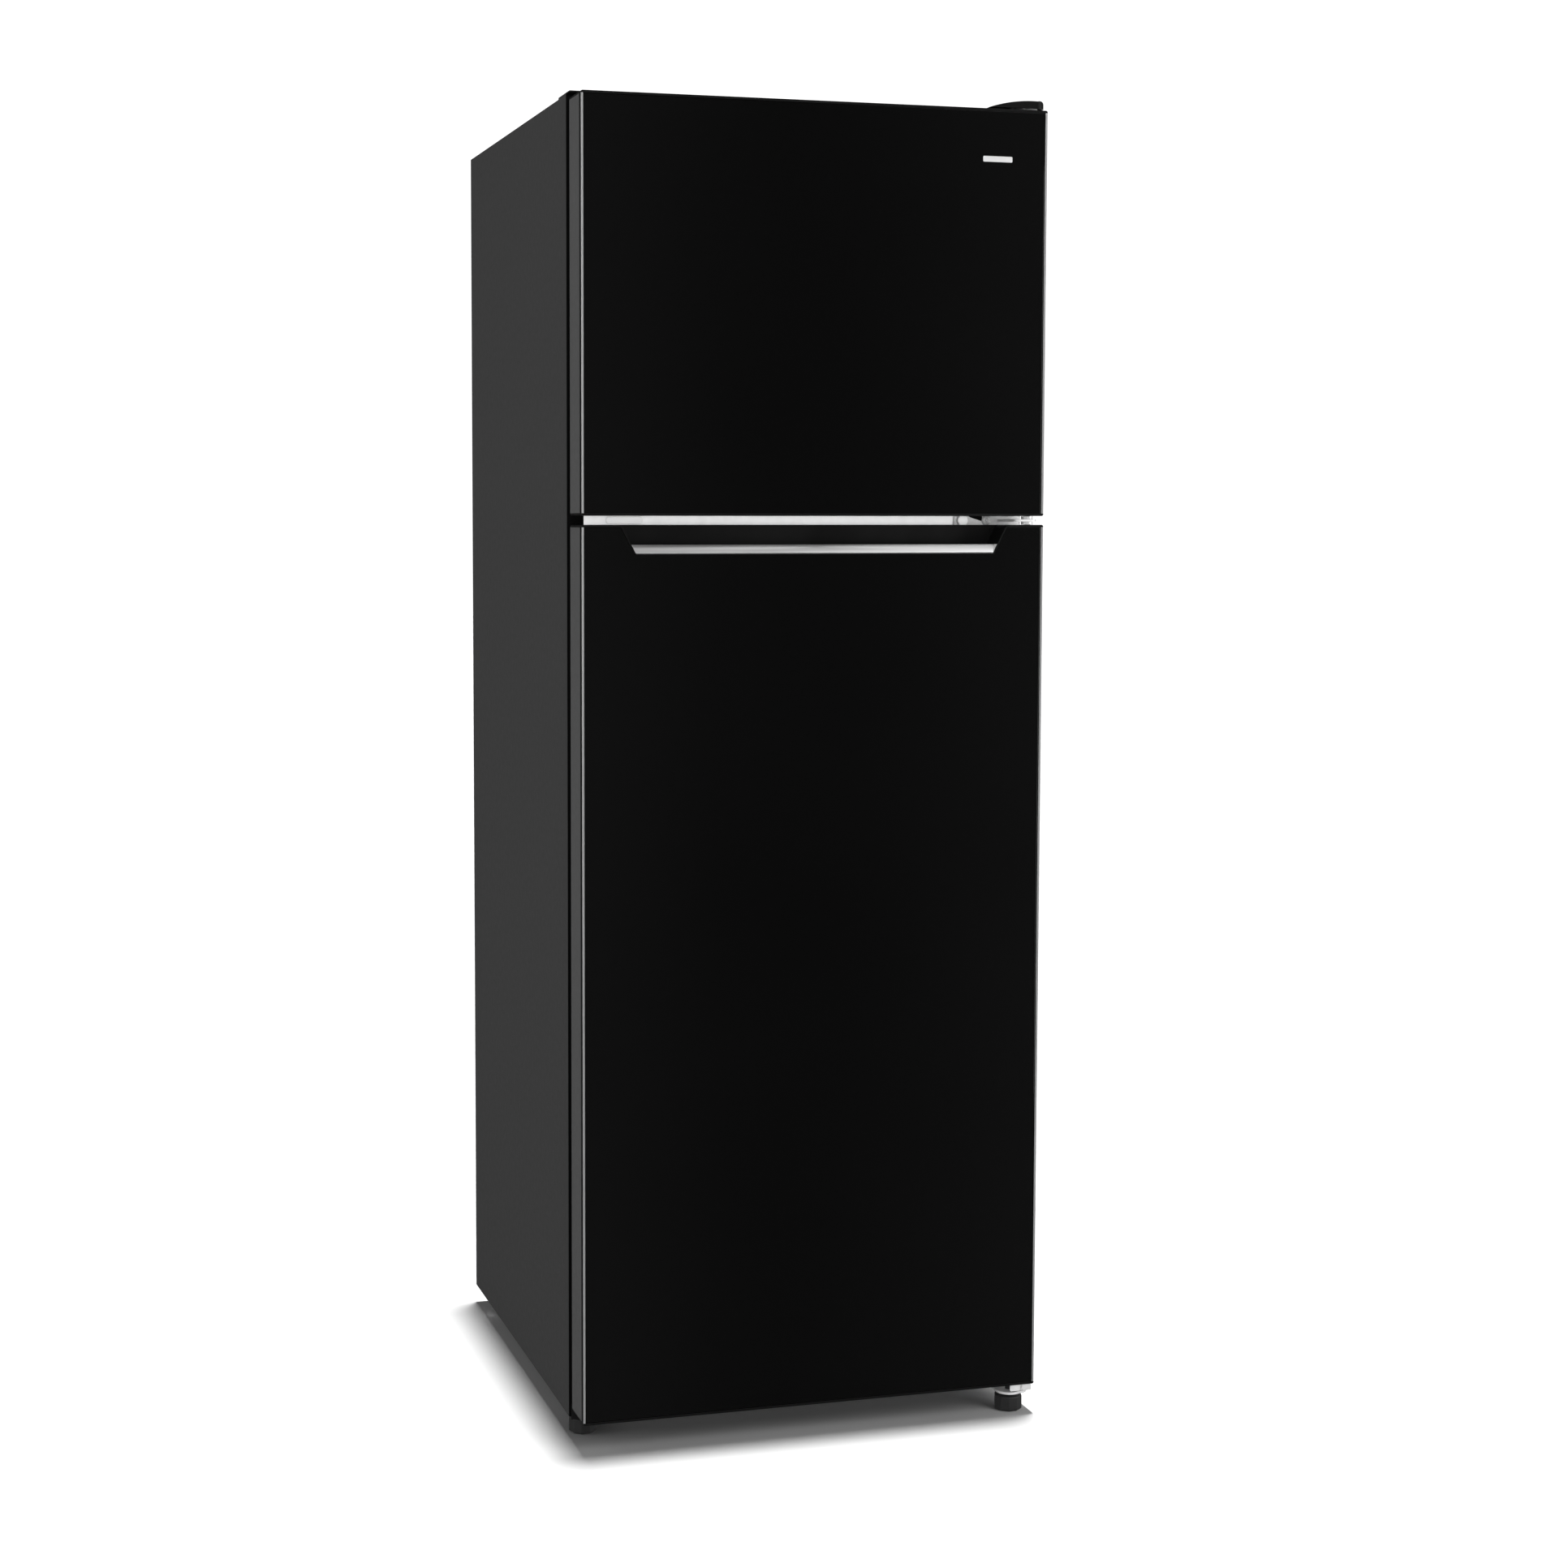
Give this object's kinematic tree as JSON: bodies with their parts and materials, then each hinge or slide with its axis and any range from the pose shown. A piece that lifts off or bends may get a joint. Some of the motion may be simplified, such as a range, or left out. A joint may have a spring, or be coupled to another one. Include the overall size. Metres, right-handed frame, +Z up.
{
  "type": "top freezer refrigerator",
  "caption": "Free-standing top-mount refrigerator: freezer above, fresh-food space below, hinged glass-front doors, shelves, drawer, feet and rollers.",
  "frame": {"origin": "on the floor, under the middle of the outline", "axes": "+Z up; the doors face -Y; the door hinges are on the +X side"},
  "size_m": [0.6, 0.66, 1.677],
  "materials": {
    "cabinet_paint": "satin",
    "door_paint": "satin",
    "black_plastic": "satin",
    "foot_plastic": "satin",
    "roller_plastic": "matte",
    "galvanised_steel": "satin",
    "mullion_steel": "satin",
    "mullion_plastic": "satin",
    "white_liner": "gloss",
    "shelf_trim": "gloss",
    "shelf_glass": "gloss",
    "clear_plastic": "gloss",
    "knob_plastic": "gloss",
    "coil_aluminium": "satin",
    "motor_black": "satin",
    "foam": "matte",
    "black_glass": "gloss",
    "silver_trim": "satin",
    "gasket_rubber": "matte",
    "zinc_bracket": "satin",
    "screw_steel": "polished",
    "compressor_black": "satin",
    "mount_rubber": "matte",
    "copper": "polished"
  },
  "bodies": {
    "cabinet": {"side_panel_left": "cabinet_paint", "side_panel_right": "cabinet_paint", "top_panel": "cabinet_paint", "front_top_trim": "black_plastic", "back_panel": "galvanised_steel", "base_panel": "galvanised_steel", "mullion_bar": "mullion_steel", "mullion_plug": "mullion_plastic", "freezer_liner": "white_liner", "fridge_liner": "white_liner", "insulation_foam": "foam", "evaporator_cover": "white_liner", "evaporator": "coil_aluminium", "fan_motor": "motor_black", "freezer_shelf": "shelf_trim", "shelf_frame_upper": "shelf_trim", "shelf_frame_middle": "shelf_trim", "shelf_frame_lower": "shelf_trim", "shelf_glass": "shelf_glass", "crisper_cover": "shelf_glass", "air_duct_cover": "white_liner", "control_housing": "white_liner", "top_hinge": "zinc_bracket", "top_hinge_cover": "black_plastic", "middle_hinge": "zinc_bracket", "bottom_hinge": "zinc_bracket", "left_foot_bracket": "zinc_bracket", "bracket_screws": "screw_steel", "roller_brackets": "zinc_bracket", "compressor_plate": "galvanised_steel", "compressor_mounts": "mount_rubber", "compressor": "compressor_black", "drip_tray": "black_plastic", "refrigerant_pipes": "copper", "machine_cover": "galvanised_steel", "power_inlet": "mount_rubber"},
    "freezer_door": {"freezer_door_skin": "door_paint", "freezer_door_glass": "black_glass", "freezer_door_trims": "silver_trim", "freezer_door_caps": "black_plastic", "freezer_door_core": "foam", "freezer_door_liner": "white_liner", "freezer_door_gasket": "gasket_rubber", "freezer_door_bins": "clear_plastic"},
    "fridge_door": {"fridge_door_skin": "door_paint", "fridge_door_glass": "black_glass", "fridge_door_trims": "silver_trim", "fridge_door_caps": "black_plastic", "fridge_door_core": "foam", "fridge_door_liner": "white_liner", "fridge_door_gasket": "gasket_rubber", "fridge_door_bins": "clear_plastic", "handle_strip": "silver_trim"},
    "crisper_drawer": {"crisper_drawer": "clear_plastic"},
    "thermostat_knob": {"thermostat_knob": "knob_plastic"},
    "evaporator_fan": {"evaporator_fan": "knob_plastic"},
    "foot_left": {"foot_left": "foot_plastic"},
    "foot_right": {"foot_right": "foot_plastic"},
    "roller_left": {"roller_left": "roller_plastic"},
    "roller_right": {"roller_right": "roller_plastic"}
  },
  "joints": [
    {"name": "freezer_door_hinge", "type": "hinge", "parent": "cabinet", "child": "freezer_door", "pos_m": [0.288, -0.306, 1.41], "axis": [0, 0, 1], "range_deg": [0, 130]},
    {"name": "fridge_door_hinge", "type": "hinge", "parent": "cabinet", "child": "fridge_door", "pos_m": [0.288, -0.306, 0.593], "axis": [0, 0, 1], "range_deg": [0, 130]},
    {"name": "crisper_slide", "type": "slide", "parent": "cabinet", "child": "crisper_drawer", "axis": [0, -1, 0], "range_m": [0, 0.16]},
    {"name": "thermostat_turn", "type": "hinge", "parent": "cabinet", "child": "thermostat_knob", "pos_m": [0, -0.02, 1.102], "axis": [0, -1, 0], "range_deg": [0, 270]},
    {"name": "evaporator_fan_spin", "type": "hinge", "parent": "cabinet", "child": "evaporator_fan", "pos_m": [0, 0.211, 1.5], "axis": [0, 1, 0], "continuous": true},
    {"name": "foot_left_turn", "type": "hinge", "parent": "cabinet", "child": "foot_left", "pos_m": [-0.278, -0.238, 0.02], "axis": [0, 0, 1], "continuous": true},
    {"name": "foot_right_turn", "type": "hinge", "parent": "cabinet", "child": "foot_right", "pos_m": [0.276, -0.303, 0.02], "axis": [0, 0, 1], "continuous": true},
    {"name": "roller_left_spin", "type": "hinge", "parent": "cabinet", "child": "roller_left", "pos_m": [-0.276, 0.262, 0.012], "axis": [1, 0, 0], "continuous": true},
    {"name": "roller_right_spin", "type": "hinge", "parent": "cabinet", "child": "roller_right", "pos_m": [0.276, 0.262, 0.012], "axis": [1, 0, 0], "continuous": true}
  ],
  "couplings": [
    {"joint": "crisper_slide", "follows": "fridge_door_hinge", "m_per_rad": 0.07}
  ]
}
